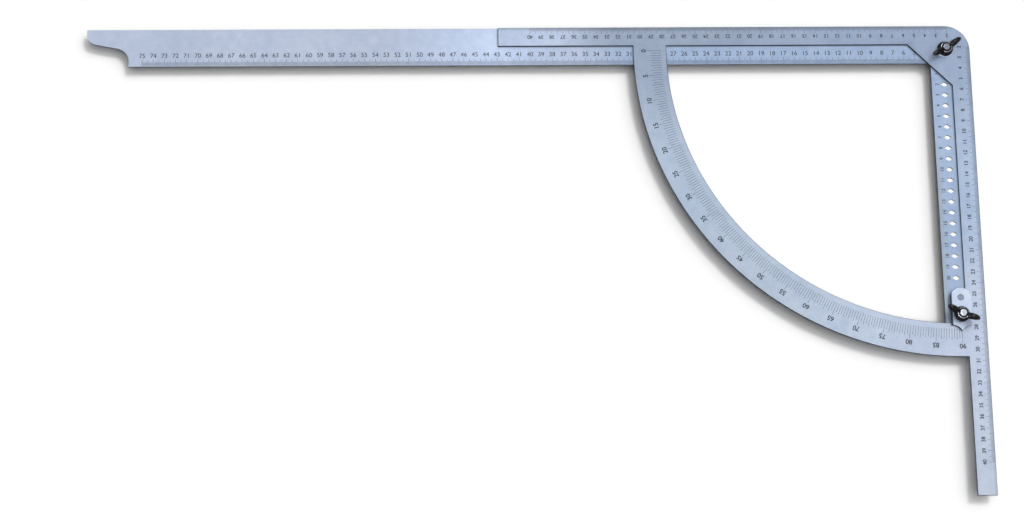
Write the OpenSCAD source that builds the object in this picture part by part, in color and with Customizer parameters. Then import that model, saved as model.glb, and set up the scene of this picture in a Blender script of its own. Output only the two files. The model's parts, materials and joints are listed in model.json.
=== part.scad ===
// Adjustable steel square: an L-shaped main square, a protractor frame that turns
// on a stud near its corner, and a pointer plate that clamps the frame at any angle.
// The plates are drawn from their sharp outer corner, with the legs along -X and -Y,
// and placed() then brings the middle of the whole footprint to the origin.

/* [Main square] */
// Length of the long leg, from the outer corner to its tip
long_leg = 800; // [600:10:1000]
// Length of the short leg, from the outer corner
short_leg = 300; // [280:1:340]
// Width of the long leg
long_leg_w = 35; // [32:0.5:45]
// Width of the short leg
short_leg_w = 36; // [32:0.5:45]
// Thickness of the main square's sheet
plate_t = 2; // [1.6:0.1:3]
// Radius of the fillet in the inner corner
inner_corner_r = 3; // [1:0.5:4]

/* [Tip of the long leg] */
// Length of the shaped tip
tip_len = 38; // [35:1:60]
// Straight part of the nose, from the outer edge
nose_flat = 4.5; // [2:0.5:6]
// Radius of the rounded nose
nose_r = 9.5; // [6:0.5:10]
// Radius of the hollow that leads to the full width
hollow_r = 13; // [8:0.5:14]
// Slope of the line between nose and hollow, in degrees
tip_slope = 11; // [6:1:14]

/* [Marking holes] */
// Spacing of the marking holes
mark_pitch = 10; // [9:0.5:11]
// Radius of a marking hole's round middle
mark_r = 2; // [1.5:0.1:2.5]
// Distance from a marking hole's middle to its pointed ends
mark_reach = 3.4; // [3:0.1:3.6]
// Distance of the marking holes from the short leg's outer edge
mark_inset = 24.4; // [24:0.1:26]

/* [Protractor frame] */
// Thickness of the frame's sheet
frame_t = 2; // [1.2:0.1:2.5]
// Width of the two straight strips
strip_w = 17.5; // [15:0.5:18]
// Length of the two straight strips
strip_len = 429; // [340:1:480]
// Width of the graduated arc
arc_w = 30; // [25:1:33]
// Length of the short leg's end that lies under the arc
end_cover = 23.5; // [12:0.5:24]
// Length of the corner gusset along each strip
gusset_len = 39; // [30:1:50]

/* [Pivot and studs] */
// Distance of the pivot from both outer edges
pivot_inset = 22.5; // [21:0.5:24]
// Diameter of the two studs
stud_d = 6; // [5:0.5:6]
// Diameter of a stud's flush head
stud_head_d = 9; // [8:0.5:11]
// Thickness of a stud's flush head
stud_head_t = 1; // [0.8:0.1:1.2]
// Length of stud that stands out of its wing nut, under the dome
stud_proud = 0.6; // [0.3:0.1:1.5]
// Height of the dome on a stud's end
stud_dome = 0.8; // [0.4:0.1:1.2]

/* [Washers] */
// Diameter of the washer on the pivot
pivot_washer_d = 15; // [14:0.5:18]
// Diameter of the washer on the clamp
clamp_washer_d = 12; // [11:0.5:13]
// Thickness of a washer
washer_t = 1.2; // [0.8:0.1:1.6]

/* [Wing nuts] */
// Diameter of the hub at its foot
hub_foot_d = 13.5; // [11:0.5:14]
// Diameter of the hub at its top
hub_top_d = 10; // [8.5:0.5:11]
// Height of the hub
hub_h = 6.5; // [5:0.5:8]
// Span over both wings
wing_span = 29; // [26:0.5:32]
// Height of the wings over the foot
wing_h = 13.5; // [12:0.5:16]
// Thickness of a wing
wing_t = 3.5; // [2:0.1:3.5]
// Radius of a wing's rounded end
wing_end_r = 4; // [3:0.5:4.5]
// Turn of the pivot's wing nut, in degrees
pivot_nut_turn = 31; // [-90:1:90]
// Turn of the clamp's wing nut, in degrees
clamp_nut_turn = -24; // [-90:1:90]

/* [Pointer] */
// Width of the pointer plate
pointer_w = 18; // [14:0.5:20]
// Thickness of the pointer plate
pointer_t = 2; // [1.2:0.1:2]
// Distance from the arc's inner edge back to the rivet
rivet_back = 23; // [22:0.5:30]
// Distance from the arc's inner edge back to the clamp stud
clamp_back = 7.5; // [7:0.5:10]
// Distance that the pointer's shoulders reach over the arc's inner edge
shoulder_over = 2; // [0.5:0.1:2.5]
// Length of the pointed end past the shoulders
point_len = 5.5; // [4:0.5:8]
// Diameter of the rivet's shank
rivet_d = 4; // [3:0.5:4.5]
// Diameter of the rivet's flush heads
rivet_head_d = 5.2; // [5:0.1:6]
// Thickness of the rivet's flush heads
rivet_head_t = 0.6; // [0.4:0.1:0.7]
// Diameter of the spacer ring under the pointer
spacer_d = 8; // [7:0.5:8.5]

/* [Fits] */
// Gap between flat faces that slide on each other
slip_gap = 0.05; // [0.03:0.01:0.1]
// Radial clearance of a hole that turns on a stud
running_gap = 0.05; // [0.03:0.01:0.1]
// Radial clearance of pieces that are set fast in the same plate
seat_gap = 0.02; // [0.01:0.01:0.05]

/* [Hidden] */
$fn = 96;

// Extra depth of every cut
cut = 0.5;
// Directions of a quarter turn, and the step between points on a rounded stretch
right_angle = 90;
round_step = 6;

// Heights of the undersides, from the bench up
frame_z = plate_t + slip_gap;
pointer_z = plate_t + frame_t + 2 * slip_gap;
pivot_washer_z = frame_z + frame_t + slip_gap;
pivot_nut_z = pivot_washer_z + washer_t + slip_gap;
clamp_washer_z = pointer_z + pointer_t + slip_gap;
clamp_nut_z = clamp_washer_z + washer_t + slip_gap;

// Radii about the pivot: the arc's inner edge, the rivet, the clamp stud, the shoulders
arc_r = short_leg - pivot_inset - end_cover;
rivet_at = arc_r - rivet_back;
clamp_at = arc_r - clamp_back;
shoulder_at = arc_r + shoulder_over;

// Number of marking holes that fit between the long leg and the pointer plate
mark_count = floor((pivot_inset + rivet_at - pointer_w / 2 - mark_r - long_leg_w) / mark_pitch);

// Places in the plane, measured from the sharp outer corner
pivot = [-pivot_inset, -pivot_inset];
rivet_place = pivot - [0, rivet_at];
clamp_place = pivot - [0, clamp_at];
reach_x = max(long_leg, strip_len);
reach_y = max(short_leg, strip_len);

// Points along an arc, from one angle to another, both in degrees
function arc_points(centre, r, from, to) =
    let (n = max(2, ceil(abs(to - from) / round_step)))
    [for (i = [0:n]) centre + r * [cos(from + (to - from) * i / n), sin(from + (to - from) * i / n)]];

// The point where a line from p touches a circle, on its left (side 1) or right (side -1)
function touch_point(p, centre, r, side) =
    let (d = p - centre, a = atan2(d[1], d[0]) + side * acos(r / norm(d)))
    centre + r * [cos(a), sin(a)];

// Brings the middle of the footprint to the origin
module placed() {
    translate([reach_x / 2, reach_y / 2, 0]) children();
}

// The waste outside the rounded outer corner, which both plates share
module corner_waste() {
    translate(pivot) difference() {
        square(pivot_inset + cut);
        circle(pivot_inset);
    }
}

// The main square from above: the long leg with its shaped tip, and the short leg
module main_outline() {
    nose = [-long_leg + nose_r, -nose_flat];
    hollow_x = -long_leg + tip_len - hollow_r;
    slope_end = nose + nose_r * [-sin(tip_slope), -cos(tip_slope)];
    run = hollow_x + hollow_r * sin(tip_slope) - slope_end[0];
    hollow_y = slope_end[1] - run * tan(tip_slope) - hollow_r * cos(tip_slope);
    inner = [-short_leg_w - inner_corner_r, -long_leg_w - inner_corner_r];
    difference() {
        polygon(concat(
            [[0, 0], [-long_leg, 0]],
            arc_points(nose, nose_r, 2 * right_angle, 3 * right_angle - tip_slope),
            arc_points([hollow_x, hollow_y], hollow_r, right_angle - tip_slope, 0),
            [[hollow_x + hollow_r, -long_leg_w]],
            arc_points(inner, inner_corner_r, right_angle, 0),
            [[-short_leg_w, -short_leg], [0, -short_leg]]));
        corner_waste();
    }
}

// One marking hole: round, with a point at each side for the pencil
module mark_hole() {
    side = touch_point([mark_reach, 0], [0, 0], mark_r, 1);
    circle(mark_r);
    polygon([[mark_reach, 0], side, [-side[0], side[1]], [-mark_reach, 0],
             [-side[0], -side[1]], [side[0], -side[1]]]);
}

// A stepped hole for a flush head that goes in from below
module head_hole(place, shank_d, head_d, head_t) {
    translate([place[0], place[1], -cut]) {
        cylinder(d = shank_d + 2 * seat_gap, h = plate_t + 2 * cut);
        cylinder(d = head_d + 2 * seat_gap, h = head_t + cut);
    }
}

// The L-shaped lower sheet with its column of marking holes
module main_square() {
    color([0.70, 0.75, 0.82]) placed() difference() {
        linear_extrude(plate_t) main_outline();
        for (i = [1:mark_count])
            translate([-mark_inset, -long_leg_w - i * mark_pitch, -cut])
                linear_extrude(plate_t + 2 * cut) mark_hole();
        head_hole(pivot, stud_d, stud_head_d, stud_head_t);
        head_hole(clamp_place, stud_d, stud_head_d, stud_head_t);
        head_hole(rivet_place, rivet_d, rivet_head_d, rivet_head_t);
    }
}

// The two strips from above, with the gusset across their corner
module strips_outline() {
    gusset_end = -strip_w - gusset_len;
    difference() {
        polygon([[0, 0], [-strip_len, 0], [-strip_len, -strip_w], [gusset_end, -strip_w],
                 [-strip_w, gusset_end], [-strip_w, -strip_len], [0, -strip_len]]);
        corner_waste();
    }
}

// The graduated quarter arc, run into both strips
module arc_outline() {
    span = pivot_inset + arc_r + arc_w + cut;
    intersection() {
        translate(pivot) difference() {
            circle(arc_r + arc_w);
            circle(arc_r);
        }
        translate([-span, -span]) square(span - strip_w / 2);
    }
}

// The upper sheet: two straight strips at a right angle, the gusset and the arc
module protractor_frame() {
    color([0.74, 0.78, 0.85]) placed() translate([0, 0, frame_z]) difference() {
        linear_extrude(frame_t) {
            strips_outline();
            arc_outline();
        }
        translate([pivot[0], pivot[1], -cut])
            cylinder(d = stud_d + 2 * running_gap, h = frame_t + 2 * cut);
    }
}

// A stud with a flush head under the plate and a domed end over its nut
module stud(place, nut_z) {
    top = nut_z + hub_h + stud_proud;
    dome_r = (stud_d * stud_d / 4 + stud_dome * stud_dome) / (2 * stud_dome);
    translate([place[0], place[1], 0]) {
        cylinder(d = stud_head_d, h = stud_head_t);
        intersection() {
            cylinder(d = stud_d, h = top + stud_dome);
            translate([0, 0, top + stud_dome - dome_r]) sphere(dome_r);
        }
        cylinder(d = stud_d, h = top);
    }
}

// The stud that the frame turns on
module pivot_stud() {
    color([0.86, 0.88, 0.90]) placed() stud(pivot, pivot_nut_z);
}

// The stud that clamps the pointer onto the arc
module clamp_stud() {
    color([0.86, 0.88, 0.90]) placed() stud(clamp_place, clamp_nut_z);
}

// A flat washer, loose on its stud
module washer(place, z, d) {
    translate([place[0], place[1], z]) difference() {
        cylinder(d = d, h = washer_t);
        translate([0, 0, -cut]) cylinder(d = stud_d + 2 * running_gap, h = washer_t + 2 * cut);
    }
}

// The broad washer under the pivot's wing nut
module pivot_washer() {
    color([0.80, 0.82, 0.85]) placed() washer(pivot, pivot_washer_z, pivot_washer_d);
}

// The small washer under the clamp's wing nut
module clamp_washer() {
    color([0.80, 0.82, 0.85]) placed() washer(clamp_place, clamp_washer_z, clamp_washer_d);
}

// One wing seen from its side, from the hub's middle out to its rounded end
module wing_outline() {
    end = [wing_span / 2 - wing_end_r, wing_h - wing_end_r];
    foot = [hub_foot_d / 2 - wing_t / 4, wing_t / 4];
    shoulder = [hub_top_d / 2 - wing_t / 2, hub_h];
    translate(end) circle(wing_end_r);
    polygon([[stud_d / 2, foot[1]], foot, touch_point(foot, end, wing_end_r, 1), end,
             touch_point(shoulder, end, wing_end_r, -1), shoulder, [stud_d / 2, hub_h]]);
}

// A wing nut: a tapered hub with two raised wings
module wing_nut(place, z, turn) {
    translate([place[0], place[1], z]) rotate([0, 0, turn]) difference() {
        union() {
            cylinder(d1 = hub_foot_d, d2 = hub_top_d, h = hub_h);
            for (side = [0, 1])
                rotate([right_angle, 0, 2 * side * right_angle]) translate([0, 0, -wing_t / 2])
                    linear_extrude(wing_t) wing_outline();
        }
        translate([0, 0, -cut]) cylinder(d = stud_d + 2 * running_gap, h = wing_h + 2 * cut);
    }
}

// The wing nut on the pivot
module pivot_wing_nut() {
    color([0.16, 0.16, 0.17]) placed() wing_nut(pivot, pivot_nut_z, pivot_nut_turn);
}

// The wing nut on the clamp
module clamp_wing_nut() {
    color([0.16, 0.16, 0.17]) placed() wing_nut(clamp_place, clamp_nut_z, clamp_nut_turn);
}

// The pointer plate from above: round at the rivet, drawn in to a point over the arc
module pointer_outline() {
    half = pointer_w / 2;
    hollow = (half * half + point_len * point_len) / (2 * point_len);
    translate(rivet_place) circle(half);
    difference() {
        translate(pivot + [-half, -shoulder_at - point_len])
            square([pointer_w, shoulder_at + point_len - rivet_at]);
        for (side = [-1, 1])
            translate(pivot + [side * half, -shoulder_at - hollow]) circle(hollow);
    }
}

// The pointer plate, which reads the degree scale and presses on the arc
module pointer_plate() {
    color([0.82, 0.86, 0.92]) placed() translate([0, 0, pointer_z]) difference() {
        linear_extrude(pointer_t) pointer_outline();
        translate([clamp_place[0], clamp_place[1], -cut])
            cylinder(d = stud_d + 2 * seat_gap, h = pointer_t + 2 * cut);
        translate([rivet_place[0], rivet_place[1], -cut])
            cylinder(d = rivet_d + 2 * seat_gap, h = pointer_t + 2 * cut);
        translate([rivet_place[0], rivet_place[1], pointer_t - rivet_head_t])
            cylinder(d = rivet_head_d + 2 * seat_gap, h = rivet_head_t + cut);
    }
}

// The ring that holds the pointer plate one sheet above the main square
module pointer_spacer() {
    color([0.66, 0.68, 0.72]) placed()
        translate([rivet_place[0], rivet_place[1], plate_t]) difference() {
            cylinder(d = spacer_d, h = pointer_z - plate_t);
            translate([0, 0, -cut])
                cylinder(d = rivet_d + 2 * seat_gap, h = pointer_z - plate_t + 2 * cut);
        }
}

// The rivet through pointer, spacer and main square, flush at both ends
module pointer_rivet() {
    top = pointer_z + pointer_t;
    color([0.55, 0.59, 0.66]) placed() translate([rivet_place[0], rivet_place[1], 0]) {
        cylinder(d = rivet_head_d, h = rivet_head_t);
        cylinder(d = rivet_d, h = top);
        translate([0, 0, top - rivet_head_t]) cylinder(d = rivet_head_d, h = rivet_head_t);
    }
}

main_square();
protractor_frame();
pivot_stud();
pivot_washer();
pivot_wing_nut();
pointer_plate();
pointer_spacer();
pointer_rivet();
clamp_stud();
clamp_washer();
clamp_wing_nut();
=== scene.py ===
"""The looks of an adjustable steel square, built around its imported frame.

The three sheets are copies of their own solids with broken edges.
The spacer and the rivet keep their solids and get a finish.
The scales are thin inked marks and numbers that stand just proud of the sheets.
The wing nuts, washers and studs are modelled here in more detail, each in its node's place.
"""

import json
import math

import bpy
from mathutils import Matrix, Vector


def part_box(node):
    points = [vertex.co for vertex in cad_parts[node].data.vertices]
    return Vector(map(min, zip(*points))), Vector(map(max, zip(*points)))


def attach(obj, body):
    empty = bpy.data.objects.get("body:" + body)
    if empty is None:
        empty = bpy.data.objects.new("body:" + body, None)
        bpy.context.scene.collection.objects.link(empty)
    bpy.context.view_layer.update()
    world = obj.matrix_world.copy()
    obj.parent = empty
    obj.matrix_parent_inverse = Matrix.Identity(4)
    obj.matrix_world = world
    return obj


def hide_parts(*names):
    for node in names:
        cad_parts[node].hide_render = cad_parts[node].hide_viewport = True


MM = 0.001
CM = 10 * MM
LEFT = Vector((-1, 0, 0))
RIGHT = Vector((1, 0, 0))
UP_PAGE = Vector((0, 1, 0))
DOWN_PAGE = Vector((0, -1, 0))
QUARTER = math.radians(90)
HALF_TURN = 2 * QUARTER

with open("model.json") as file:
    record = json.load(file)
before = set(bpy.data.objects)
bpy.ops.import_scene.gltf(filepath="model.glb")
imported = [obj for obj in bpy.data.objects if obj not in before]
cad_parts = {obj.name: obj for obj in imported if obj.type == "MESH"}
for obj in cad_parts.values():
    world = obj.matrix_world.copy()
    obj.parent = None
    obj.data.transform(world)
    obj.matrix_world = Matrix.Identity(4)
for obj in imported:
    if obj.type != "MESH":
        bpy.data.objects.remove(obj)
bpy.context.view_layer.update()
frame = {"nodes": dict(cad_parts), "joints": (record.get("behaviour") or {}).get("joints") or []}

# Places that the frame gives
nodes = frame["nodes"]
square_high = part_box("main_square")[1]
corner = Vector((square_high.x, square_high.y, 0))
sheet_top = square_high.z
strip_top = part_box("protractor_frame")[1].z
joint_places = {j["name"]: Vector(j["pos_m"]) for j in frame["joints"] if "pos_m" in j}
pivot = joint_places["pivot_nut_turn"]
clamp = joint_places["clamp_nut_turn"]

# Camera: place, turn in degrees about each axis, and lens and sensor in millimetres
CAMERA_PLACE = (-0.06789, -0.44146, 1.86439)
CAMERA_TURN = (13.2913, -1.3408, -0.7163)
CAMERA_LENS = 76.012
SENSOR_WIDTH = 36
NEAREST_SEEN = 0.01
FURTHEST_SEEN = 100

# Lamps: height over the floor, turn from +X and spread in degrees
LAMPS = (
    {"elevation": 68.5, "azimuth": 15, "strength": 1.88, "spread": 88},
    {"elevation": 52.5, "azimuth": 39, "strength": 0.49, "spread": 58},
    {"elevation": 57.5, "azimuth": 42.8, "strength": 1.06, "spread": 14.5},
)
GLINT_LAMPS = (
    {"elevation": 35, "azimuth": 160, "strength": 1.2, "spread": 14},
    {"elevation": 35, "azimuth": 245, "strength": 0.9, "spread": 14},
    {"elevation": 18, "azimuth": 205, "strength": 1.6, "spread": 24},
    {"elevation": 20, "azimuth": 135, "strength": 1.6, "spread": 24},
)

# Sky and floor: white where they are seen, and dimmer where they only light other things
SKY_SEEN = 1.0
SKY_LIGHT = 0.035
FLOOR_SEEN = (1.02, 1.02, 1.02)
FLOOR_BOUNCE = (0.2, 0.2, 0.2)
FLOOR_DROP = 9.3 * MM
FLOOR_SPAN = 12

# Low rests under the legs, in millimetres off the corner: left, right, lower and upper side
LONG_LEG_REST = (-740, -31, -26, -9)
SHORT_LEG_REST = (-31, -9, -290, -9)
REST_GAP = 0.05 * MM
REST_TOP_LEVEL = (0.4, 0.6)

# Sheets: how far their sharp edges are broken, and in how many steps
SQUARE_BREAK = 0.3 * MM
FRAME_BREAK = 0.4 * MM
POINTER_BREAK = 0.5 * MM
BREAK_STEPS = 2

# Angles between faces in degrees: up to which they merge, from which an edge is broken, and up
# to which they are shaded as one
FLAT_ANGLE = 0.2
SHARP_ANGLE = 50
SHEET_SMOOTH = 20
THREAD_SMOOTH = 35
NUT_SMOOTH = 40
WASHER_SMOOTH = 50
MERGE_DISTANCE = 0.001 * MM

# The values that a noise mostly keeps between
NOISE_LOW = 0.3
NOISE_HIGH = 0.7

# Tones of the sheets; the square's and frame's darker, paler and bright tones are painted reflection
SQUARE_PALE = (0.50, 0.565, 0.70)
SQUARE_SHADED_BLUE = (0.395, 0.51, 0.70)
SQUARE_REFLECTION_BRIGHT = (0.605, 0.72, 0.93)
FRAME_BLUE = (0.485, 0.595, 0.765)
FRAME_SHADED = (0.345, 0.43, 0.585)
FRAME_PALE = (0.585, 0.655, 0.76)
FRAME_END = (0.55, 0.64, 0.81)
FRAME_REFLECTION_BRIGHT = (0.565, 0.64, 0.785)
POINTER_POINT = (0.66, 0.75, 0.90)
POINTER_ROUND = (0.72, 0.80, 0.95)

# Stains that a tone is multiplied by; the pointer's rim is a painted shadow line
CLOUD_STAIN = (0.86, 0.88, 0.91)
MOTTLE_STAIN = (0.83, 0.87, 0.91)
GRAIN_STAIN = (0.95, 0.93, 0.94)
INNER_EDGE_STAIN = (1.0, 0.95, 0.84)
ARC_STAIN = (0.96, 0.94, 0.89)
TOP_RIM_STAIN = (0.76, 0.78, 0.77)
SIDE_RIM_STAIN = (0.82, 0.84, 0.82)
POINTER_SHADOW_LINE = (0.04, 0.05, 0.07)

# Where a tone or a stain comes in: the axis, where it starts and where it is full
# The square's painted shade of its reflection, towards the pivot
SQUARE_TO_SHADED_BLUE = ("X", 30 * MM, 100 * MM)
INNER_EDGE_ACROSS = ("X", 372.5 * MM, 365.5 * MM)
INNER_EDGE_DOWN = ("Y", 140 * MM, 60 * MM)
# The frame's painted reflection: shade along the top strip, a paler side and a lighter left end
FRAME_TO_SHADED = ("Y", 75 * MM, 205 * MM)
FRAME_FROM_PALE = ("Y", -160 * MM, 60 * MM)
FRAME_FROM_END = ("X", 10 * MM, 80 * MM)
ARC_STAINED = ("X", 300 * MM, 170 * MM)
TOP_RIM = ("Y", 211 * MM, 213.2 * MM)
SIDE_RIM = ("X", 397 * MM, 399 * MM)
POINTER_TO_ROUND = ("Y", -70 * MM, -30 * MM)

# Painted bright reflection patches: X, Y and reach
SQUARE_REFLECTION_PATCH = (-30 * MM, 197 * MM, 100 * MM)
FRAME_REFLECTION_PATCH = (395 * MM, -75 * MM, 110 * MM)

# The pointer's painted shadow line along its left rim, measured in from its left side, and the
# painted light on its cut edge towards the right, which starts at a share of its width and is full
# this far in from its right side
POINTER_RIM_START = 1.4 * MM
POINTER_RIM_FULL = 0.9 * MM
POINTER_LIT_START = 0.6
POINTER_LIT_FULL = 1.5 * MM

# Tones of the cut edges, dark and light; the frame's near black is painted shade
SQUARE_EDGE = ((0.13, 0.14, 0.155), (0.19, 0.20, 0.22))
# Painted shade: the frame's edges are darkened to stand for the shadow line beside them
FRAME_SHADED_EDGE = ((0.008, 0.011, 0.018), (0.02, 0.024, 0.034))
# The pointer's edge: painted shade on its left and painted light towards its right
POINTER_SHADED_AND_LIT_EDGE = ((0.006, 0.008, 0.012), (0.52, 0.59, 0.70))

# Textures of the sheets, and the grain's stretch by axis
CLOUD = {"Scale": 14, "Detail": 3, "Roughness": 0.5}
MOTTLE = {"Scale": 120, "Detail": 3, "Roughness": 0.65}
GRAIN = {"Scale": 1, "Detail": 5, "Roughness": 0.6}
EDGE_MOTTLE = {"Scale": 260, "Detail": 3}
GRAIN_ALONG_X = (12, 1400, 12)
GRAIN_ALONG_Y = (1400, 12, 12)
GRAIN_RELIEF = {"strength": 0.12, "depth": 0.02 * MM}

# How level a face is where the sheet's tone and its shine come in, and the shine's own range
TONE_LEVEL = (0.94, 0.99)
SHINE_LEVEL = (0.4, 0.9)
SHEET_SHINE = (0.05, 0.5)
SHEET_METAL = (0, 0.12)
SHEET_ROUGHNESS = (0.42, 0.56)

# Ink of the scales
INK_TONES = ((0.012, 0.016, 0.03), (0.05, 0.06, 0.085))
INK_WEAR = {"Scale": 700, "Detail": 3}
INK_ROUGHNESS = (0.45, 0.7)
INK_METAL = 0.1

# Turned steel: tones from dark to light, least roughness, and the turning rings
# The two studs' tones are shaded and lit copies of one steel: painted shade and painted light
PIVOT_STUD_SHADED_TONES = ((0.19, 0.20, 0.26), (0.26, 0.275, 0.35))
CLAMP_STUD_LIT_TONES = ((0.46, 0.51, 0.58), (0.66, 0.72, 0.80))
WASHER_TONES = ((0.40, 0.46, 0.57), (0.62, 0.68, 0.80))
RIVET_TONES = ((0.2, 0.25, 0.33), (0.30, 0.36, 0.45))
SPACER_TONES = ((0.45, 0.5, 0.56), (0.6, 0.64, 0.7))
STUD_ROUGHNESS = 0.3
WASHER_ROUGHNESS = 0.35
RIVET_ROUGHNESS = 0.4
SMEAR = {"Scale": 600, "Detail": 4}
TURNING = {"Scale": 900, "Distortion": 2.5, "Detail": 2}
TURNING_ROUGHNESS = 0.12
TURNING_RELIEF = {"strength": 0.1, "depth": 0.02 * MM}
TURNED_METAL = 0.95

# A painted dark reflection at a washer's upper left
DARK_REFLECTION_TONE = (0.03, 0.03, 0.04)
DARK_REFLECTION_OFFSET = 6 * MM
DARK_REFLECTION_REACH = 11 * MM
DARK_REFLECTION_RISE = (0.1, 0.4)

# Black chrome of the nuts
CHROME_TONES = ((0.004, 0.004, 0.007), (0.040, 0.036, 0.035))
CHROME_SHEEN = (0.5, 0.48, 0.46, 1)
CHROME_SHINE = 0.3
CHROME_METAL = 0.9
CHROME_ROUGHNESS = (0.2, 0.42)
CAST_SKIN = {"Scale": 420, "Detail": 4, "Roughness": 0.6}
CAST_RELIEF = {"strength": 0.25, "depth": 0.08 * MM}

# The rim round a nut's bore, worn and painted with a highlight: its tone, how much of it shows,
# its radii, and the heights over the nut's foot between which it fades in and fades out
WORN_HIGHLIGHT_TONE = (0.32, 0.34, 0.37)
WORN_HIGHLIGHT_SHARE = (0.35, 1)
WORN_HIGHLIGHT_RISE = (0.35, 0.6)
WORN_HIGHLIGHT_INNER = 4.3 * MM
WORN_HIGHLIGHT_OUTER = 5.1 * MM
WORN_HIGHLIGHT_BLUR = 0.15 * MM
WORN_HIGHLIGHT_LOW = (5.3 * MM, 5.7 * MM)
WORN_HIGHLIGHT_HIGH = (6.7 * MM, 7.0 * MM)

# Ticks: height, widths, first and last off the corner, and how far each kind reaches in
INK_PROUD = 0.02 * MM
STRIP_TICK_WIDTH = 0.24 * MM
LEG_TICK_WIDTH = 0.31 * MM
ARC_TICK_WIDTH = 0.29 * MM
STRIP_TICKS = (20 * MM, 400 * MM)
LEG_TICKS = (40 * MM, 750 * MM)
TICK_SPACINGS = (1 * MM, 5 * MM, 10 * MM)
TICK_START = 0.4 * MM
STRIP_REACHES = (3.6 * MM, 5.4 * MM, 6.1 * MM)
LEG_REACHES = (4.2 * MM, 6.0 * MM, 6.8 * MM)
LONG_LEG_WIDTH = 35 * MM

# The arc's ticks: degrees between them, and from where to where they reach past its inner edge
ARC_INNER = 254 * MM
ARC_SPAN = 90
ARC_TICKS = ((0.5, 5.0 * MM, 13.5 * MM), (1, 13.5 * MM, 14.9 * MM), (5, 14.9 * MM, 17.5 * MM))
ARC_NUMBER_STEP = 5
ARC_NUMBERS_IN = 20.4 * MM

# Numbers one centimetre apart: first, last, how far in from the edge, and their turn
TOP_NUMBERS = (2, 40, 8.8 * MM, HALF_TURN)
SIDE_NUMBERS = (2, 40, 9.5 * MM, QUARTER)
LEG_NUMBERS = (5, 75, 24.8 * MM, 0)
HOLE_NUMBERS = (1, 20, 31 * MM, QUARTER)
HOLE_START = 35 * MM

# Digits: height and weight on each scale
TOP_DIGITS = (3.5 * MM, 0.1 * MM)
SIDE_DIGITS = (3.5 * MM, 0.12 * MM)
LEG_DIGITS = (4.3 * MM, 0.04 * MM)
HOLE_DIGITS = (3.2 * MM, 0.05 * MM)
ARC_DIGITS = (4.4 * MM, 0.15 * MM)
DIGIT_FINENESS = 5
# Height of a digit in the built-in typeface, as a share of the text's size
DIGIT_SHARE = 0.73

# Studs and washers, as in the solids
STUD_RADIUS = 3 * MM
STUD_HEAD_RADIUS = 4.5 * MM
STUD_HEAD = 1 * MM
STUD_HEAD_BREAK = 0.15 * MM
STUD_DOME = 0.8 * MM
DOME_SHARES = (0.25, 0.5, 0.7, 0.86, 0.95, 0.99)
DOME_FULLNESS = 0.9
BORE_RADIUS = 3.05 * MM
WASHER_RIM = 0.3 * MM
WASHER_ROUND = 0.3
ROUND_SIDES = 64
WASHER_SIDES = 96

# Threads: where they start, and a root's and a crest's place as shares of the pitch
THREAD_PITCH = 1 * MM
THREAD_DEPTH = 0.35 * MM
THREAD_START = 5.5 * MM
THREAD_ROOT = 0.5
THREAD_CREST = 0.9

# Wing nuts: turns and lean in degrees, and where an ear grows out of the hub
PIVOT_NUT_TURN = 31
CLAMP_NUT_TURN = -24
EAR_LEAN = 39
EAR_ROOT = (3.2 * MM, 0, 2.5 * MM)
# In millimetres: the first block's length, and each station's place, half width, half thickness
EAR_BLOCK = 1
EAR_STATIONS = (
    (0.0, 3.6, 3.3),
    (3.2, 3.3, 3.1),
    (6.6, 4.1, 2.9),
    (9.7, 5.0, 2.6),
    (12.6, 4.4, 1.9),
    (13.6, 2.6, 1.1),
)
EAR_ROUNDING = 3
# In millimetres: radius and height of the hub's rings, and of the rings of its bore
HUB_RINGS = (
    (6.5, 0.0), (6.95, 0.3), (6.95, 1.4), (6.5, 2.2), (6.0, 3.6), (5.5, 5.0), (5.2, 5.8), (4.8, 6.4),
    (4.4, 6.5),
)
BORE_RINGS = ((3.05, -2.0), (3.05, 5.5), (3.5, 5.8), (4.1, 5.9), (4.3, 6.3), (4.3, 12.0))
CAST_VOXEL = 0.28 * MM
CAST_SOFTNESS = 0.5
CAST_PASSES = 6


def deselect():
    """Clears the selection, because an operator acts on all that is selected."""
    bpy.ops.object.select_all(action="DESELECT")


def pick(*pieces):
    """Selects these pieces alone; the first is active."""
    deselect()
    for piece in pieces:
        piece.select_set(True)
    bpy.context.view_layer.objects.active = pieces[0]


def apply_place(piece):
    """Puts a piece's place, turn and scale into its mesh."""
    pick(piece)
    bpy.ops.object.transform_apply(location=True, rotation=True, scale=True)


def rename(piece, name):
    """Names a piece and its mesh."""
    piece.name = name
    piece.data.name = name


def join(name, pieces):
    """Joins pieces into one of that name, with its origin at the world origin."""
    pick(*pieces)
    if len(pieces) > 1:
        bpy.ops.object.join()
    piece = bpy.context.object
    rename(piece, name)
    return piece


def apply_modifier(piece, modifier):
    """Applies one modifier by its name."""
    pick(piece)
    bpy.ops.object.modifier_apply(modifier=modifier.name)


def close_up(piece):
    """Merges doubled points and turns all faces outwards."""
    pick(piece)
    bpy.ops.object.mode_set(mode="EDIT")
    bpy.ops.mesh.select_all(action="SELECT")
    bpy.ops.mesh.remove_doubles(threshold=MERGE_DISTANCE)
    bpy.ops.mesh.normals_make_consistent(inside=False)
    bpy.ops.object.mode_set(mode="OBJECT")


def shade(piece, degrees):
    """Smooth shading up to an angle between faces."""
    pick(piece)
    bpy.ops.object.shade_smooth_by_angle(angle=math.radians(degrees))


def finish(piece, material):
    """Gives a piece one material."""
    piece.data.materials.clear()
    piece.data.materials.append(material)


def dress(piece, body, material):
    """Gives a finished piece its material and the body that it moves with."""
    finish(piece, material)
    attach(piece, body)


def new_material(name):
    """An empty material: the material, its node tree and its shader."""
    material = bpy.data.materials.new(name)
    material.use_nodes = True
    tree = material.node_tree
    return material, tree, tree.nodes["Principled BSDF"]


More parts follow.
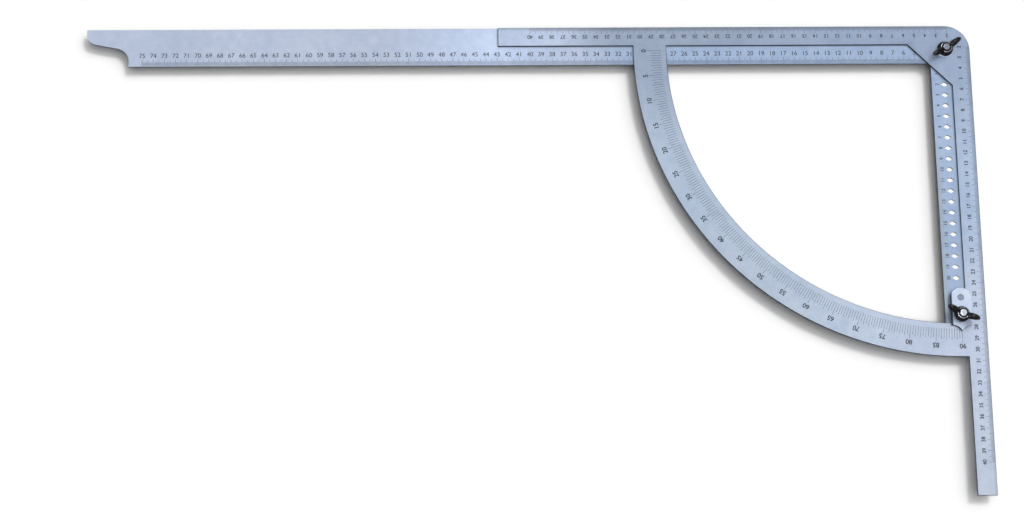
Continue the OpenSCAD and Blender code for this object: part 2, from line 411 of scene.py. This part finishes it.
def own_place(tree):
    """A point's place in the piece's own coordinates."""
    return tree.nodes.new("ShaderNodeTexCoord").outputs["Object"]


def axis_value(tree, vector, axis):
    """A vector's X, Y or Z."""
    parts = tree.nodes.new("ShaderNodeSeparateXYZ")
    tree.links.new(vector, parts.inputs["Vector"])
    return parts.outputs[axis]


def upward(tree):
    """How far a face looks up: 1 for a level top, -1 for a level underside."""
    return axis_value(tree, tree.nodes.new("ShaderNodeNewGeometry").outputs["Normal"], "Z")


def arithmetic(tree, operation, *sources):
    """One or two values put through an arithmetic operation."""
    node = tree.nodes.new("ShaderNodeMath")
    node.operation = operation
    for source, socket in zip(sources, node.inputs):
        tree.links.new(source, socket)
    return node.outputs["Value"]


def pattern(tree, kind, stretch=(1, 1, 1), shift=(0, 0, 0), **inputs):
    """A texture on the piece's own coordinates, stretched and shifted by axis."""
    mapping = tree.nodes.new("ShaderNodeMapping")
    mapping.inputs["Scale"].default_value = stretch
    mapping.inputs["Location"].default_value = shift
    texture = tree.nodes.new(kind)
    tree.links.new(own_place(tree), mapping.inputs["Vector"])
    tree.links.new(mapping.outputs["Vector"], texture.inputs["Vector"])
    for socket, value in inputs.items():
        texture.inputs[socket].default_value = value
    return texture


def noise(tree, stretch=(1, 1, 1), shift=(0, 0, 0), **inputs):
    """A noise texture's value."""
    return pattern(tree, "ShaderNodeTexNoise", stretch, shift, **inputs).outputs["Fac"]


def between(tree, source, low, high, from_low=NOISE_LOW, from_high=NOISE_HIGH):
    """A value carried over from one range to another; the first is a noise's by default."""
    spread = tree.nodes.new("ShaderNodeMapRange")
    spread.inputs["From Min"].default_value = from_low
    spread.inputs["From Max"].default_value = from_high
    spread.inputs["To Min"].default_value = low
    spread.inputs["To Max"].default_value = high
    tree.links.new(source, spread.inputs["Value"])
    return spread.outputs["Result"]


def ramp(tree, axis, start, end):
    """0 to 1 as the piece's own X, Y or Z coordinate goes from start to end, softly."""
    rise = between(tree, axis_value(tree, own_place(tree), axis), 0, 1, start, end)
    rise.node.interpolation_type = "SMOOTHSTEP"
    return rise


def blotch(tree, x, y, reach):
    """1 at a place on the sheet, falling to 0 at its reach."""
    share = 1 / reach
    ball = pattern(
        tree, "ShaderNodeTexGradient", (share, share, share), (-x * share, -y * share, 0))
    ball.gradient_type = "SPHERICAL"
    return ball.outputs["Fac"]


def mixed(tree, factor, first, second, blend="MIX"):
    """A colour between two others; each is a colour or another node's output."""
    mix = tree.nodes.new("ShaderNodeMix")
    mix.data_type = "RGBA"
    mix.blend_type = blend
    sockets = [socket for socket in mix.inputs if socket.type == "RGBA"]
    for socket, colour in zip(sockets, (first, second)):
        if isinstance(colour, tuple):
            socket.default_value = (*colour, 1)
        else:
            tree.links.new(colour, socket)
    tree.links.new(factor, mix.inputs["Factor"])
    return [socket for socket in mix.outputs if socket.type == "RGBA"][0]


def stained(tree, factor, base, stain):
    """A colour multiplied by a stain, by a factor from 0 to 1."""
    return mixed(tree, factor, base, stain, "MULTIPLY")


def rough_bump(tree, shader, height, strength, depth):
    """Fine relief from a texture's value."""
    bump = tree.nodes.new("ShaderNodeBump")
    bump.inputs["Strength"].default_value = strength
    bump.inputs["Distance"].default_value = depth
    tree.links.new(height, bump.inputs["Height"])
    tree.links.new(bump.outputs["Normal"], shader.inputs["Normal"])


def rolled_steel(name, tone_of, edge_of, grain, seed):
    """Satin rolled sheet: uneven tone, cloudy sheen, fine grain along it, and dull cut edges."""
    material, tree, shader = new_material(name)
    drift = (seed, 2 * seed, 0)
    cloud = noise(tree, shift=drift, **CLOUD)
    mottle = noise(tree, shift=drift, **MOTTLE)
    lines = noise(tree, grain, drift, **GRAIN)
    tone = tone_of(tree)
    for value, stain in ((cloud, CLOUD_STAIN), (mottle, MOTTLE_STAIN), (lines, GRAIN_STAIN)):
        tone = stained(tree, between(tree, value, 0, 1), tone, stain)
    level = arithmetic(tree, "ABSOLUTE", upward(tree))
    faces = between(tree, level, 0, 1, *TONE_LEVEL)
    shine = between(tree, level, *SHEET_SHINE, *SHINE_LEVEL)
    metal = between(tree, level, *SHEET_METAL, *SHINE_LEVEL)
    roughness = between(tree, mottle, *SHEET_ROUGHNESS)
    tree.links.new(mixed(tree, faces, edge_of(tree), tone), shader.inputs["Base Color"])
    tree.links.new(shine, shader.inputs["Specular IOR Level"])
    tree.links.new(metal, shader.inputs["Metallic"])
    tree.links.new(roughness, shader.inputs["Roughness"])
    rough_bump(tree, shader, lines, **GRAIN_RELIEF)
    return material


def square_tone(tree):
    """The main square: painted reflection, bluer and darker by the pivot, with one bright patch;
    and a greyer inner edge.
    """
    # Painted reflection: shade towards the pivot and one bright patch
    tone = mixed(tree, ramp(tree, *SQUARE_TO_SHADED_BLUE), SQUARE_PALE, SQUARE_SHADED_BLUE)
    patched = mixed(tree, blotch(tree, *SQUARE_REFLECTION_PATCH), tone, SQUARE_REFLECTION_BRIGHT)
    across = ramp(tree, *INNER_EDGE_ACROSS)
    down = ramp(tree, *INNER_EDGE_DOWN)
    return stained(tree, arithmetic(tree, "MULTIPLY", across, down), patched, INNER_EDGE_STAIN)


def frame_tone(tree):
    """The frame: painted reflection and shade, darker along its top strip and paler down the side,
    with a lighter left end and a bright patch; greyer across the arc's middle.
    """
    # Painted reflection and shade across the frame, then a greyer arc and darker rims
    upper = mixed(tree, ramp(tree, *FRAME_TO_SHADED), FRAME_BLUE, FRAME_SHADED)
    lower = mixed(tree, ramp(tree, *FRAME_FROM_PALE), FRAME_PALE, upper)
    grey = stained(tree, ramp(tree, *ARC_STAINED), lower, ARC_STAIN)
    end = mixed(tree, ramp(tree, *FRAME_FROM_END), FRAME_END, grey)
    bright = mixed(tree, blotch(tree, *FRAME_REFLECTION_PATCH), end, FRAME_REFLECTION_BRIGHT)
    top_rim = stained(tree, ramp(tree, *TOP_RIM), bright, TOP_RIM_STAIN)
    return stained(tree, ramp(tree, *SIDE_RIM), top_rim, SIDE_RIM_STAIN)


def pointer_tone(tree):
    """The pointer: bright all over, brightest at its round end, with a painted shadow line along its
    left rim.
    """
    tone = mixed(tree, ramp(tree, *POINTER_TO_ROUND), POINTER_POINT, POINTER_ROUND)
    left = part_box("pointer_plate")[0].x
    # A painted shadow line along the pointer's left rim
    rim = ramp(tree, "X", left + POINTER_RIM_START, left + POINTER_RIM_FULL)
    return stained(tree, rim, tone, POINTER_SHADOW_LINE)


def cut_edge(tree, dark, light):
    """A cut edge's mottled tone."""
    return mixed(tree, between(tree, noise(tree, **EDGE_MOTTLE), 0, 1), dark, light)


def square_edge(tree):
    """The main square's cut edges: dull grey."""
    return cut_edge(tree, *SQUARE_EDGE)


def frame_edge(tree):
    """The frame's cut edges: nearly black, painted shade for the shadow line along them."""
    return cut_edge(tree, *FRAME_SHADED_EDGE)


def pointer_edge(tree):
    """The pointer's cut edges: painted shade, black on the left, and painted light towards the
    right.
    """
    low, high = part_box("pointer_plate")
    start = low.x + POINTER_LIT_START * (high.x - low.x)
    # Painted light on the pointer's edge towards its right
    bright_share = ramp(tree, "X", start, high.x - POINTER_LIT_FULL)
    return mixed(tree, bright_share, *POINTER_SHADED_AND_LIT_EDGE)


def ink(name):
    """Dark etched marks, a little worn and greyed."""
    material, tree, shader = new_material(name)
    wear = noise(tree, **INK_WEAR)
    tone = mixed(tree, between(tree, wear, 0, 1), *INK_TONES)
    tree.links.new(tone, shader.inputs["Base Color"])
    tree.links.new(between(tree, wear, *INK_ROUGHNESS), shader.inputs["Roughness"])
    shader.inputs["Metallic"].default_value = INK_METAL
    return material


def turned_steel(name, centre, tones, roughness):
    """Bright steel with fine turning rings about its own axis."""
    material, tree, shader = new_material(name)
    rings = pattern(tree, "ShaderNodeTexWave", shift=(-centre.x, -centre.y, 0), **TURNING)
    rings.wave_type = "RINGS"
    rings.rings_direction = "Z"
    relief = rings.outputs["Fac"]
    smear = noise(tree, **SMEAR)
    tone = mixed(tree, between(tree, smear, 0, 1), *tones)
    dullness = between(tree, relief, roughness, roughness + TURNING_ROUGHNESS, 0, 1)
    tree.links.new(tone, shader.inputs["Base Color"])
    tree.links.new(dullness, shader.inputs["Roughness"])
    shader.inputs["Metallic"].default_value = TURNED_METAL
    rough_bump(tree, shader, relief, **TURNING_RELIEF)
    return material


def tarnish(material, centre):
    """Paints a dark reflection on a washer's upper left."""
    tree = material.node_tree
    colour = tree.nodes["Principled BSDF"].inputs["Base Color"]
    bright = colour.links[0].from_socket
    dark = blotch(tree, centre.x - DARK_REFLECTION_OFFSET, centre.y + DARK_REFLECTION_OFFSET, DARK_REFLECTION_REACH)
    black = between(tree, dark, 0, 1, *DARK_REFLECTION_RISE)
    tree.links.new(stained(tree, black, bright, DARK_REFLECTION_TONE), colour)


def off_axis(tree, place, centre):
    """A point's distance from an upright axis."""
    flat = tree.nodes.new("ShaderNodeVectorMath")
    flat.operation = "MULTIPLY_ADD"
    flat.inputs[1].default_value = (1, 1, 0)
    flat.inputs[2].default_value = (-centre.x, -centre.y, 0)
    length = tree.nodes.new("ShaderNodeVectorMath")
    length.operation = "LENGTH"
    tree.links.new(place, flat.inputs[0])
    tree.links.new(flat.outputs["Vector"], length.inputs[0])
    return length.outputs["Value"]


def worn_rim(tree, skin, centre, foot):
    """How much wear and painted highlight shows: some on the rim round a nut's bore, and none
    elsewhere.
    """
    place = own_place(tree)
    radius = off_axis(tree, place, centre)
    height = axis_value(tree, place, "Z")
    limits = (
        between(tree, radius, 0, 1, WORN_HIGHLIGHT_INNER, WORN_HIGHLIGHT_INNER + WORN_HIGHLIGHT_BLUR),
        between(tree, radius, 1, 0, WORN_HIGHLIGHT_OUTER - WORN_HIGHLIGHT_BLUR, WORN_HIGHLIGHT_OUTER),
        between(tree, height, 0, 1, foot + WORN_HIGHLIGHT_LOW[0], foot + WORN_HIGHLIGHT_LOW[1]),
        between(tree, height, 1, 0, foot + WORN_HIGHLIGHT_HIGH[0], foot + WORN_HIGHLIGHT_HIGH[1]),
    )
    bright_share = between(tree, skin, *WORN_HIGHLIGHT_SHARE, *WORN_HIGHLIGHT_RISE)
    for limit in limits:
        bright_share = arithmetic(tree, "MULTIPLY", bright_share, limit)
    return bright_share


def black_chrome(name, centre, foot):
    """Black chrome over a cast nut, worn bright and painted with a highlight on the rim round its
    bore.
    """
    material, tree, shader = new_material(name)
    skin = noise(tree, **CAST_SKIN)
    tone = mixed(tree, between(tree, skin, 0, 1), *CHROME_TONES)
    # Wear with a painted highlight on the rim round the bore
    bright_share = worn_rim(tree, skin, centre, foot)
    tree.links.new(mixed(tree, bright_share, tone, WORN_HIGHLIGHT_TONE), shader.inputs["Base Color"])
    tree.links.new(between(tree, skin, *CHROME_ROUGHNESS), shader.inputs["Roughness"])
    shader.inputs["Metallic"].default_value = CHROME_METAL
    shader.inputs["Specular IOR Level"].default_value = CHROME_SHINE
    shader.inputs["Specular Tint"].default_value = CHROME_SHEEN
    rough_bump(tree, shader, skin, **CAST_RELIEF)
    return material


def tick_row(edge, along, inward, first, last, spacing, near, far, width, z):
    """Thin bars across an edge's scale, one every spacing, from near to far off the edge."""
    deselect()
    middle = edge + along * first + inward * (near + far) / 2
    length = far - near
    size = [abs(along[i]) * width + abs(inward[i]) * length for i in range(2)]
    bpy.ops.mesh.primitive_cube_add(
        size=1, location=(middle.x, middle.y, z), scale=(size[0], size[1], 2 * INK_PROUD))
    bar = bpy.context.object
    apply_place(bar)
    row = bar.modifiers.new("row", "ARRAY")
    row.use_relative_offset = False
    row.use_constant_offset = True
    row.constant_offset_displace = along * spacing
    row.count = round((last - first) / spacing) + 1
    apply_modifier(bar, row)
    return bar


def ticks(name, edge, along, inward, first, last, reaches, width, z):
    """A scale's ticks: every millimetre, carried on at each fifth and further at each tenth."""
    rows = []
    near = TICK_START
    for spacing, far in zip(TICK_SPACINGS, reaches):
        rows.append(tick_row(edge, along, inward, first, last, spacing, near, far, width, z))
        near = far
    return join(name, rows)


def number(text, place, turn, height, weight):
    """One number as a low text, centred on its place; its outline is widened by the weight."""
    bpy.ops.object.text_add(location=place, rotation=(0, 0, turn))
    piece = bpy.context.object
    piece.data.body = text
    piece.data.size = height / DIGIT_SHARE
    piece.data.align_x = "CENTER"
    piece.data.align_y = "CENTER"
    piece.data.extrude = weight
    piece.data.bevel_depth = weight
    piece.data.bevel_resolution = 0
    piece.data.resolution_u = DIGIT_FINENESS
    # These stand up by twice the weight together, so they are flattened to the ink's height
    piece.scale.z = INK_PROUD / (2 * weight)
    return piece


def numbers(name, labels, height, weight):
    """A scale's numbers as one mesh; each label is (text, place, turn)."""
    deselect()
    pieces = [number(text, place, turn, height, weight) for text, place, turn in labels]
    pick(*pieces)
    bpy.ops.object.convert(target="MESH")
    bpy.ops.object.transform_apply(location=True, rotation=True, scale=True)
    piece = join(name, pieces)
    close_up(piece)
    return piece


def centimetre_labels(counted, along, inward, z, start=0):
    """Labels one centimetre apart, counted along an edge from the corner or from a start."""
    first, last, depth, turn = counted
    line = corner + along * start + inward * depth + Vector((0, 0, z))
    return [(str(n), line + along * n * CM, turn) for n in range(first, last + 1)]


def arc_labels():
    """Labels round the arc, each with its head towards the pivot."""
    labels = []
    for degrees in range(0, ARC_SPAN + 1, ARC_NUMBER_STEP):
        angle = HALF_TURN + math.radians(degrees)
        outward = Vector((math.cos(angle), math.sin(angle), 0))
        place = pivot + outward * (ARC_INNER + ARC_NUMBERS_IN)
        place.z = strip_top
        labels.append((str(degrees), place, angle - QUARTER))
    return labels


def arc_ticks():
    """The arc's half degrees, carried on at each whole one and further at each fifth."""
    rows = []
    for step, near, far in ARC_TICKS:
        deselect()
        middle = pivot + LEFT * (ARC_INNER + (near + far) / 2)
        bpy.ops.mesh.primitive_cube_add(
            size=1,
            location=(middle.x, middle.y, strip_top),
            scale=(far - near, ARC_TICK_WIDTH, 2 * INK_PROUD))
        row = bpy.context.object
        apply_place(row)
        bpy.ops.object.mode_set(mode="EDIT")
        bpy.ops.mesh.select_all(action="SELECT")
        bpy.ops.mesh.spin(
            steps=round(ARC_SPAN / step), dupli=True, angle=-math.radians(ARC_SPAN),
            center=(pivot.x, pivot.y, 0), axis=(0, 0, 1))
        bpy.ops.object.mode_set(mode="OBJECT")
        rows.append(row)
    return join("arc_ticks", rows)


def turned(name, centre, rings, bored=False, segments=ROUND_SIDES):
    """A round piece drawn up ring by ring; each ring is (radius, height)."""
    deselect()
    radius, height = rings[0]
    bpy.ops.mesh.primitive_circle_add(
        vertices=segments, radius=radius, location=(centre.x, centre.y, height))
    piece = bpy.context.object
    bpy.ops.object.mode_set(mode="EDIT")
    bpy.ops.mesh.select_all(action="SELECT")
    for next_radius, next_height in rings[1:]:
        bpy.ops.mesh.extrude_edges_move(
            TRANSFORM_OT_translate={"value": (0, 0, next_height - height)})
        share = next_radius / radius
        bpy.ops.transform.resize(
            value=(share, share, 1), center_override=(centre.x, centre.y, next_height))
        radius, height = next_radius, next_height
    bpy.ops.mesh.select_mode(type="EDGE")
    bpy.ops.mesh.select_all(action="DESELECT")
    bpy.ops.mesh.select_non_manifold()
    if bored:
        bpy.ops.mesh.bridge_edge_loops()
    else:
        bpy.ops.mesh.fill_holes(sides=0)
    bpy.ops.mesh.select_all(action="SELECT")
    bpy.ops.mesh.normals_make_consistent(inside=False)
    bpy.ops.object.mode_set(mode="OBJECT")
    apply_place(piece)
    rename(piece, name)
    return piece


def in_metres(rings):
    """Rings given in millimetres, carried over to metres."""
    return [(radius * MM, height * MM) for radius, height in rings]


def select_outer_face(piece, direction):
    """In edit mode, selects the face that lies furthest along a direction."""
    bpy.ops.mesh.select_mode(type="FACE")
    bpy.ops.mesh.select_all(action="DESELECT")
    bpy.ops.object.mode_set(mode="OBJECT")
    furthest = max(piece.data.polygons, key=lambda face: face.center.dot(direction))
    furthest.select = True
    bpy.ops.object.mode_set(mode="EDIT")


def ear(side_turn):
    """One raised ear: drawn out station by station, rounded, leaned and turned to its side."""
    deselect()
    start, width, thickness = EAR_STATIONS[0]
    bpy.ops.mesh.primitive_cube_add(
        size=1,
        location=((start + EAR_BLOCK / 2) * MM, 0, 0),
        scale=(EAR_BLOCK * MM, 2 * thickness * MM, 2 * width * MM))
    piece = bpy.context.object
    apply_place(piece)
    bpy.ops.object.mode_set(mode="EDIT")
    select_outer_face(piece, RIGHT)
    at = start + EAR_BLOCK
    for reach, next_width, next_thickness in EAR_STATIONS[1:]:
        bpy.ops.mesh.extrude_region_move(
            TRANSFORM_OT_translate={"value": ((reach - at) * MM, 0, 0)})
        bpy.ops.transform.resize(
            value=(1, next_thickness / thickness, next_width / width),
            center_override=(reach * MM, 0, 0))
        at, width, thickness = reach, next_width, next_thickness
    bpy.ops.object.mode_set(mode="OBJECT")
    rounding = piece.modifiers.new("rounding", "SUBSURF")
    rounding.levels = EAR_ROUNDING
    rounding.render_levels = EAR_ROUNDING
    apply_modifier(piece, rounding)
    piece.rotation_euler = (0, -math.radians(EAR_LEAN), 0)
    piece.location = EAR_ROOT
    apply_place(piece)
    piece.rotation_euler = (0, 0, side_turn)
    apply_place(piece)
    return piece


def wing_nut(name, centre, foot, turn):
    """A cast wing nut: hub and ears melted into one body with soft fillets, then bored."""
    origin = Vector((0, 0, 0))
    hub = turned("hub", origin, in_metres(HUB_RINGS))
    body = join(name, [hub, ear(0), ear(HALF_TURN)])
    melt = body.modifiers.new("melt", "REMESH")
    melt.mode = "VOXEL"
    melt.voxel_size = CAST_VOXEL
    apply_modifier(body, melt)
    soften = body.modifiers.new("soften", "SMOOTH")
    soften.factor = CAST_SOFTNESS
    soften.iterations = CAST_PASSES
    apply_modifier(body, soften)
    drill = turned("drill", origin, in_metres(BORE_RINGS))
    bore = body.modifiers.new("bore", "BOOLEAN")
    bore.operation = "DIFFERENCE"
    bore.solver = "EXACT"
    bore.object = drill
    apply_modifier(body, bore)
    bpy.data.objects.remove(drill)
    body.rotation_euler = (0, 0, math.radians(turn))
    body.location = (centre.x, centre.y, foot)
    apply_place(body)
    shade(body, NUT_SMOOTH)
    return body


def washer(name, centre, low, high, radius):
    """A stamped washer with rounded rims."""
    rim = WASHER_RIM
    round_off = rim * WASHER_ROUND
    rings = [
        (BORE_RADIUS, low + rim), (BORE_RADIUS + rim, low), (radius - rim, low),
        (radius - round_off, low + round_off), (radius, low + rim), (radius, high - rim),
        (radius - round_off, high - round_off), (radius - rim, high),
        (BORE_RADIUS + rim, high), (BORE_RADIUS, high - rim),
    ]
    piece = turned(name, centre, rings, bored=True, segments=WASHER_SIDES)
    shade(piece, WASHER_SMOOTH)
    return piece


def stud(name, centre, top):
    """A stud: flush head, plain shank, threaded upper part and a domed end."""
    rings = [
        (STUD_HEAD_RADIUS - STUD_HEAD_BREAK, 0), (STUD_HEAD_RADIUS, STUD_HEAD_BREAK),
        (STUD_HEAD_RADIUS, STUD_HEAD), (STUD_RADIUS, STUD_HEAD), (STUD_RADIUS, THREAD_START),
    ]
    end = top - STUD_DOME
    z = THREAD_START
    while z + THREAD_PITCH < end:
        rings.append((STUD_RADIUS - THREAD_DEPTH, z + THREAD_ROOT * THREAD_PITCH))
        rings.append((STUD_RADIUS, z + THREAD_CREST * THREAD_PITCH))
        rings.append((STUD_RADIUS, z + THREAD_PITCH))
        z += THREAD_PITCH
    rings.append((STUD_RADIUS, end))
    for share in DOME_SHARES:
        narrowed = math.sqrt(1 - share * share) ** DOME_FULLNESS
        rings.append((STUD_RADIUS * narrowed, end + STUD_DOME * share))
    piece = turned(name, centre, rings)
    shade(piece, THREAD_SMOOTH)
    return piece


def plate(node, body, edge_break, material):
    """A sheet made from its node's own shape, with its sharp edges broken."""
    mesh = nodes[node].data.copy()
    mesh.name = node + "_sheet"
    piece = bpy.data.objects.new(node + "_sheet", mesh)
    bpy.context.scene.collection.objects.link(piece)
    close_up(piece)
    bpy.ops.object.mode_set(mode="EDIT")
    bpy.ops.mesh.select_all(action="SELECT")
    bpy.ops.mesh.dissolve_limited(angle_limit=math.radians(FLAT_ANGLE))
    bpy.ops.object.mode_set(mode="OBJECT")
    broken = piece.modifiers.new("broken", "BEVEL")
    broken.width = edge_break
    broken.segments = BREAK_STEPS
    broken.limit_method = "ANGLE"
    broken.angle_limit = math.radians(SHARP_ANGLE)
    apply_modifier(piece, broken)
    shade(piece, SHEET_SMOOTH)
    dress(piece, body, material)
    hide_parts(node)


def add_camera():
    """The camera that the picture is taken with."""
    data = bpy.data.cameras.new("camera")
    data.lens = CAMERA_LENS
    data.sensor_width = SENSOR_WIDTH
    data.sensor_fit = "HORIZONTAL"
    data.clip_start = NEAREST_SEEN
    data.clip_end = FURTHEST_SEEN
    camera = bpy.data.objects.new("camera", data)
    camera.location = CAMERA_PLACE
    camera.rotation_euler = [math.radians(angle) for angle in CAMERA_TURN]
    bpy.context.scene.collection.objects.link(camera)
    bpy.context.scene.camera = camera


def seen_directly(tree):
    """1 for rays that show or mirror a surface, 0 for those that only light others."""
    path = tree.nodes.new("ShaderNodeLightPath").outputs
    shown = arithmetic(tree, "MAXIMUM", path["Is Camera Ray"], path["Is Glossy Ray"])
    return arithmetic(tree, "MAXIMUM", shown, path["Is Transmission Ray"])


def white_material(name, top_glows_white):
    """Matt white that keeps shadows; a rest's top glows plain white where it is seen directly,
    painted light in the shade under the sheets.
    """
    material = bpy.data.materials.new(name)
    material.use_nodes = True
    tree = material.node_tree
    tree.nodes.remove(tree.nodes["Principled BSDF"])
    seen = seen_directly(tree)
    matt = tree.nodes.new("ShaderNodeBsdfDiffuse")
    tree.links.new(mixed(tree, seen, FLOOR_BOUNCE, FLOOR_SEEN), matt.inputs["Color"])
    surface = matt.outputs["BSDF"]
    # A glow on a rest's top: painted light where it is seen through the marking holes
    if top_glows_white:
        glow = tree.nodes.new("ShaderNodeEmission")
        blend = tree.nodes.new("ShaderNodeMixShader")
        on_top = between(tree, upward(tree), 0, 1, *REST_TOP_LEVEL)
        tree.links.new(arithmetic(tree, "MULTIPLY", on_top, seen), blend.inputs[0])
        tree.links.new(surface, blend.inputs[1])
        tree.links.new(glow.outputs["Emission"], blend.inputs[2])
        surface = blend.outputs["Shader"]
    tree.links.new(surface, tree.nodes["Material Output"].inputs["Surface"])
    return material


def add_rest(name, sides, material):
    """One low white rest under a leg, clear of the floor by a hair."""
    deselect()
    left, right, lower, upper = [side * MM for side in sides]
    height = FLOOR_DROP - REST_GAP
    middle = corner + Vector(((left + right) / 2, (lower + upper) / 2, -height / 2))
    bpy.ops.mesh.primitive_cube_add(
        size=1, location=middle, scale=(right - left, upper - lower, height))
    rest = bpy.context.object
    rest.name = name
    finish(rest, material)


def add_floor():
    """A white floor a little below the square, and the two low rests that carry its legs."""
    white = white_material("floor_white", False)
    rest_white = white_material("rest_white", True)
    deselect()
    bpy.ops.mesh.primitive_plane_add(size=FLOOR_SPAN, location=(0, 0, -FLOOR_DROP))
    floor = bpy.context.object
    floor.name = "floor"
    finish(floor, white)
    add_rest("long_leg_rest", LONG_LEG_REST, rest_white)
    add_rest("short_leg_rest", SHORT_LEG_REST, rest_white)


def add_lamp(name, elevation, azimuth, strength, spread):
    """A soft distant lamp, placed by its height over the floor and its turn from +X."""
    data = bpy.data.lights.new(name, "SUN")
    data.energy = strength
    data.angle = math.radians(spread)
    lamp = bpy.data.objects.new(name, data)
    lamp.rotation_euler = (0, QUARTER - math.radians(elevation), math.radians(azimuth))
    bpy.context.scene.collection.objects.link(lamp)
    return lamp


def add_light():
    """Lamps at the upper right, lamps that only glint on what is polished, and a white sky."""
    for place, lamp in enumerate(LAMPS):
        add_lamp("lamp_" + str(place), **lamp).visible_glossy = False
    for place, lamp in enumerate(GLINT_LAMPS):
        add_lamp("glint_lamp_" + str(place), **lamp).visible_diffuse = False
    world = bpy.data.worlds.new("sky")
    world.use_nodes = True
    tree = world.node_tree
    sky = tree.nodes["Background"]
    strength = between(tree, seen_directly(tree), SKY_LIGHT, SKY_SEEN, 0, 1)
    sky.inputs["Color"].default_value = (1, 1, 1, 1)
    tree.links.new(strength, sky.inputs["Strength"])
    bpy.context.scene.world = world
    bpy.context.scene.view_settings.view_transform = "Standard"


def dress_plates():
    """Steel finishes: three sheets with broken edges, and the rivet and its spacer."""
    square = rolled_steel("square_sheet", square_tone, square_edge, GRAIN_ALONG_X, seed=3)
    plate("main_square", "square", SQUARE_BREAK, square)
    turning = rolled_steel("frame_sheet", frame_tone, frame_edge, GRAIN_ALONG_X, seed=5)
    plate("protractor_frame", "frame", FRAME_BREAK, turning)
    pointer = rolled_steel("pointer_sheet", pointer_tone, pointer_edge, GRAIN_ALONG_Y, seed=8)
    plate("pointer_plate", "square", POINTER_BREAK, pointer)
    low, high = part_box("pointer_rivet")
    middle = (low + high) / 2
    ground = turned_steel("rivet_ground", middle, RIVET_TONES, RIVET_ROUGHNESS)
    finish(nodes["pointer_rivet"], ground)
    zinc = turned_steel("spacer_zinc", middle, SPACER_TONES, WASHER_ROUGHNESS)
    finish(nodes["pointer_spacer"], zinc)


def add_scales():
    """All the inked scales: two edges and the arc on the frame, and both legs of the square."""
    marks = ink("scale_marks")
    lower_edge = corner + DOWN_PAGE * LONG_LEG_WIDTH
    on_strips = (*STRIP_TICKS, STRIP_REACHES, STRIP_TICK_WIDTH, strip_top)
    on_leg = (*LEG_TICKS, LEG_REACHES, LEG_TICK_WIDTH, sheet_top)
    edges = (
        ("top_strip_ticks", "frame", corner, LEFT, DOWN_PAGE, on_strips),
        ("side_strip_ticks", "frame", corner, DOWN_PAGE, LEFT, on_strips),
        ("long_leg_ticks", "square", lower_edge, LEFT, UP_PAGE, on_leg),
    )
    for name, body, edge, along, inward, scale in edges:
        dress(ticks(name, edge, along, inward, *scale), body, marks)
    top = centimetre_labels(TOP_NUMBERS, LEFT, DOWN_PAGE, strip_top)
    side = centimetre_labels(SIDE_NUMBERS, DOWN_PAGE, LEFT, strip_top)
    leg = centimetre_labels(LEG_NUMBERS, LEFT, DOWN_PAGE, sheet_top)
    holes = centimetre_labels(HOLE_NUMBERS, DOWN_PAGE, LEFT, sheet_top, HOLE_START)
    rows = (
        ("top_strip_numbers", "frame", top, TOP_DIGITS),
        ("side_strip_numbers", "frame", side, SIDE_DIGITS),
        ("long_leg_numbers", "square", leg, LEG_DIGITS),
        ("marking_hole_numbers", "square", holes, HOLE_DIGITS),
    )
    for name, body, labels, digits in rows:
        dress(numbers(name, labels, *digits), body, marks)
    dress(arc_ticks(), "frame", marks)
    dress(numbers("arc_numbers", arc_labels(), *ARC_DIGITS), "frame", marks)


def add_fasteners():
    """The studs, washers and wing nuts, each in its node's place."""
    places = (
        ("pivot", pivot, PIVOT_NUT_TURN, PIVOT_STUD_SHADED_TONES),
        ("clamp", clamp, CLAMP_NUT_TURN, CLAMP_STUD_LIT_TONES),
    )
    for which, centre, turn, stud_tones in places:
        nut_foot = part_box(which + "_wing_nut")[0].z
        chrome = black_chrome(which + "_black_chrome", centre, nut_foot)
        nut = wing_nut(which + "_wing_nut_cast", centre, nut_foot, turn)
        dress(nut, which + "_nut", chrome)
        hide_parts(which + "_wing_nut")
        low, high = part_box(which + "_washer")
        ring = washer(which + "_washer_stamped", centre, low.z, high.z, (high.x - low.x) / 2)
        zinc = turned_steel(which + "_zinc", centre, WASHER_TONES, WASHER_ROUGHNESS)
        # A painted dark reflection on the washer's upper left
        tarnish(zinc, centre)
        dress(ring, which + "_washer", zinc)
        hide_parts(which + "_washer")
        screw = stud(which + "_stud_threaded", centre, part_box(which + "_stud")[1].z)
        # Painted shade on the pivot's stud and painted light on the clamp's, as copies of one steel
        bright = turned_steel(which + "_bright", centre, stud_tones, STUD_ROUGHNESS)
        dress(screw, "square", bright)
        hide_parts(which + "_stud")


add_camera()
add_floor()
add_light()
dress_plates()
add_scales()
add_fasteners()
